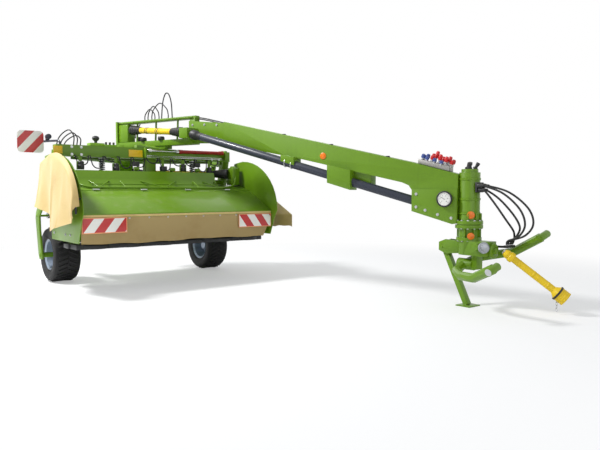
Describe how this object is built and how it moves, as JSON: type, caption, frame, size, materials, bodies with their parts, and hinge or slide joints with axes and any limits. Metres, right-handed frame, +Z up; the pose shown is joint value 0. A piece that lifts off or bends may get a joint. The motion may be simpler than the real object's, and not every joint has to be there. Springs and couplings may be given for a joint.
{
  "type": "disc mower conditioner",
  "caption": "Trailed disc mower conditioner with a central gooseneck drawbar, swivelling hitch head, canvas guards, tine rotor and wheels on lifting arms.",
  "frame": {"origin": "on the ground under the middle of the machine's box, hoses on the hitch head included", "axes": "+Z up, +Y towards the rear of the machine (away from the tractor), +X towards the machine's left side"},
  "size_m": [4.3229, 7.0976, 3.03],
  "materials": {
    "green_paint": "gloss farm-green paint",
    "tyre": "matte rubber",
    "rim": "silver-grey paint",
    "rod_chrome": "hard chrome",
    "blade_steel": "worn steel",
    "cloth": "coated canvas",
    "warning_stripes": "reflective red and white",
    "dark_tube": "dark paint",
    "black_plastic": "moulded",
    "yellow_plastic": "moulded",
    "zinc": "zinc plated",
    "red_paint": "gloss",
    "bar_steel": "black paint",
    "hose_rubber": "hydraulic hose"
  },
  "bodies": {
    "carrier": {"board_bracket": "dark_tube", "cross_drive_shaft": "black_plastic", "cutterbar": "bar_steel", "guard_rail_right": "dark_tube", "mower_cross_tube": "green_paint", "mower_hood": "green_paint", "pivot_frame": "green_paint", "portal_frame": "green_paint", "rotor_housing": "green_paint", "side_gearbox": "green_paint", "side_plate_left": "green_paint", "side_plate_right": "green_paint", "suspension_spring_left": "dark_tube", "suspension_spring_right": "dark_tube", "warning_board": "warning_stripes"},
    "wheel_arm_left": {"wheel_arm_left": "green_paint"},
    "wheel_left": {"tyre_left": "tyre", "rim_left": "rim"},
    "lift_barrel_left": {"lift_barrel_left": "green_paint"},
    "lift_rod_left": {"lift_rod_left": "rod_chrome"},
    "swath_door_left": {"swath_door_left": "green_paint"},
    "side_guard_left": {"side_guard_left": "cloth"},
    "wheel_arm_right": {"wheel_arm_right": "green_paint"},
    "wheel_right": {"tyre_right": "tyre", "rim_right": "rim"},
    "lift_barrel_right": {"lift_barrel_right": "green_paint"},
    "lift_rod_right": {"lift_rod_right": "rod_chrome"},
    "swath_door_right": {"swath_door_right": "green_paint"},
    "side_guard_right": {"side_guard_right": "cloth"},
    "disc_1": {"disc_1": "blade_steel"},
    "disc_2": {"disc_2": "blade_steel"},
    "disc_3": {"disc_3": "blade_steel"},
    "disc_4": {"disc_4": "blade_steel"},
    "disc_5": {"disc_5": "blade_steel"},
    "disc_6": {"disc_6": "blade_steel"},
    "conditioner_rotor": {"conditioner_rotor": "blade_steel"},
    "front_guard": {"front_guard": "green_paint", "front_curtain": "cloth"},
    "hitch_yoke": {"hitch_yoke": "green_paint"},
    "stand_leg": {"stand_leg": "green_paint"},
    "pto_shaft": {"pto_shaft": "yellow_plastic"},
    "swing_barrel": {"swing_barrel": "red_paint"},
    "swing_rod": {"swing_rod": "rod_chrome"},
    "hitch_head": {"head_gearbox": "green_paint", "stand_bracket": "green_paint", "hose_clamp": "black_plastic"},
    "drawbar": {"drawbar_beam": "green_paint", "swivel_column_upper": "green_paint", "drive_tube": "dark_tube", "rear_drive_shaft": "yellow_plastic", "pivot_gearbox": "green_paint", "coupler_block": "black_plastic", "hose_ports": "black_plastic", "load_gauge": "black_plastic", "hose_loop_tall": "hose_rubber", "hose_1": "hose_rubber", "hose_2": "hose_rubber", "hose_3": "hose_rubber", "hose_4": "hose_rubber"}
  },
  "joints": [
    {"name": "wheel_lift_left", "type": "hinge", "parent": "carrier", "child": "wheel_arm_left", "pos_m": [1.2836, 2.4888, 1.35], "axis": [1, 0, 0], "range_deg": [0, 28]},
    {"name": "wheel_spin_left", "type": "hinge", "parent": "wheel_arm_left", "child": "wheel_left", "pos_m": [1.0036, 2.7388, 0.425], "axis": [1, 0, 0], "continuous": true},
    {"name": "lift_barrel_tilt_left", "type": "hinge", "parent": "carrier", "child": "lift_barrel_left", "pos_m": [1.1286, 2.6888, 1.9], "axis": [1, 0, 0], "range_deg": [-1, 13.4]},
    {"name": "lift_rod_slide_left", "type": "slide", "parent": "lift_barrel_left", "child": "lift_rod_left", "axis": [0, 0.211, -0.9775], "range_m": [-0.182, 0.01]},
    {"name": "wheel_lift_right", "type": "hinge", "parent": "carrier", "child": "wheel_arm_right", "pos_m": [-1.8864, 2.4888, 1.35], "axis": [1, 0, 0], "range_deg": [0, 28]},
    {"name": "wheel_spin_right", "type": "hinge", "parent": "wheel_arm_right", "child": "wheel_right", "pos_m": [-1.6064, 2.7388, 0.425], "axis": [1, 0, 0], "continuous": true},
    {"name": "lift_barrel_tilt_right", "type": "hinge", "parent": "carrier", "child": "lift_barrel_right", "pos_m": [-1.7314, 2.6888, 1.9], "axis": [1, 0, 0], "range_deg": [-1, 13.4]},
    {"name": "lift_rod_slide_right", "type": "slide", "parent": "lift_barrel_right", "child": "lift_rod_right", "axis": [0, 0.211, -0.9775], "range_m": [-0.182, 0.01]},
    {"name": "drawbar_swing", "type": "hinge", "parent": "carrier", "child": "drawbar", "pos_m": [-0.3014, 3.3588, 2.02], "axis": [0, 0, 1], "range_deg": [-36.5, 2]},
    {"name": "swing_barrel_turn", "type": "hinge", "parent": "carrier", "child": "swing_barrel", "pos_m": [1.1736, 2.4688, 2.045], "axis": [0, 0, 1], "range_deg": [-6.6, 1.3]},
    {"name": "swing_rod_slide", "type": "slide", "parent": "swing_barrel", "child": "swing_rod", "axis": [-1, 0, 0], "range_m": [-0.039, 0.546]},
    {"name": "head_swivel", "type": "hinge", "parent": "drawbar", "child": "hitch_head", "pos_m": [1.61829, -2.46286, 0], "axis": [0, 0, 1], "range_deg": [-70, 70], "deforming": ["hose_1", "hose_2", "hose_3", "hose_4"]},
    {"name": "yoke_roll", "type": "hinge", "parent": "hitch_head", "child": "hitch_yoke", "pos_m": [1.61829, -2.46286, 0.51], "axis": [0, -1, 0], "range_deg": [-34, 0]},
    {"name": "stand_fold", "type": "hinge", "parent": "hitch_head", "child": "stand_leg", "pos_m": [1.61829, -2.11286, 0.7], "axis": [1, 0, 0], "range_deg": [0, 100]},
    {"name": "pto_tilt", "type": "hinge", "parent": "hitch_head", "child": "pto_shaft", "pos_m": [1.67829, -2.89286, 0.7], "axis": [-0.8728, -0.4882, 0], "range_deg": [0, 45]},
    {"name": "disc_spin_1", "type": "hinge", "parent": "carrier", "child": "disc_1", "pos_m": [-1.5514, 1.4888, 0.69], "axis": [0, 0, 1], "continuous": true},
    {"name": "disc_spin_2", "type": "hinge", "parent": "carrier", "child": "disc_2", "pos_m": [-1.0514, 1.4888, 0.69], "axis": [0, 0, 1], "continuous": true},
    {"name": "disc_spin_3", "type": "hinge", "parent": "carrier", "child": "disc_3", "pos_m": [-0.5514, 1.4888, 0.69], "axis": [0, 0, 1], "continuous": true},
    {"name": "disc_spin_4", "type": "hinge", "parent": "carrier", "child": "disc_4", "pos_m": [-0.0514, 1.4888, 0.69], "axis": [0, 0, 1], "continuous": true},
    {"name": "disc_spin_5", "type": "hinge", "parent": "carrier", "child": "disc_5", "pos_m": [0.4486, 1.4888, 0.69], "axis": [0, 0, 1], "continuous": true},
    {"name": "disc_spin_6", "type": "hinge", "parent": "carrier", "child": "disc_6", "pos_m": [0.9486, 1.4888, 0.69], "axis": [0, 0, 1], "continuous": true},
    {"name": "rotor_spin", "type": "hinge", "parent": "carrier", "child": "conditioner_rotor", "pos_m": [-0.3014, 2.0188, 0.985], "axis": [1, 0, 0], "continuous": true},
    {"name": "front_guard_lift", "type": "hinge", "parent": "carrier", "child": "front_guard", "pos_m": [-0.3014, 1.7388, 1.425], "axis": [-1, 0, 0], "range_deg": [0, 55]},
    {"name": "side_guard_lift_right", "type": "hinge", "parent": "carrier", "child": "side_guard_right", "pos_m": [-1.9664, 2.7388, 1.895], "axis": [0, 1, 0], "range_deg": [0, 80]},
    {"name": "side_guard_lift_left", "type": "hinge", "parent": "carrier", "child": "side_guard_left", "pos_m": [1.2706, 1.5788, 1.27], "axis": [0, -1, 0], "range_deg": [-35, 40]},
    {"name": "swath_door_turn_left", "type": "hinge", "parent": "carrier", "child": "swath_door_left", "pos_m": [0.7186, 2.4388, 0.95], "axis": [0, 0, 1], "range_deg": [0, 25]},
    {"name": "swath_door_turn_right", "type": "hinge", "parent": "carrier", "child": "swath_door_right", "pos_m": [-1.3214, 2.4388, 0.95], "axis": [0, 0, -1], "range_deg": [0, 25]}
  ],
  "couplings": [
    {"joint": "wheel_lift_right", "follows": "wheel_lift_left", "ratio": 1},
    {"joint": "lift_barrel_tilt_left", "follows": "wheel_lift_left", "ratio": 0.4412},
    {"joint": "lift_rod_slide_left", "follows": "wheel_lift_left", "m_per_rad": -0.3516},
    {"joint": "lift_barrel_tilt_right", "follows": "wheel_lift_left", "ratio": 0.4412},
    {"joint": "lift_rod_slide_right", "follows": "wheel_lift_left", "m_per_rad": -0.3516},
    {"joint": "swing_barrel_turn", "follows": "drawbar_swing", "ratio": 0.1548},
    {"joint": "swing_rod_slide", "follows": "drawbar_swing", "m_per_rad": -0.8414}
  ]
}
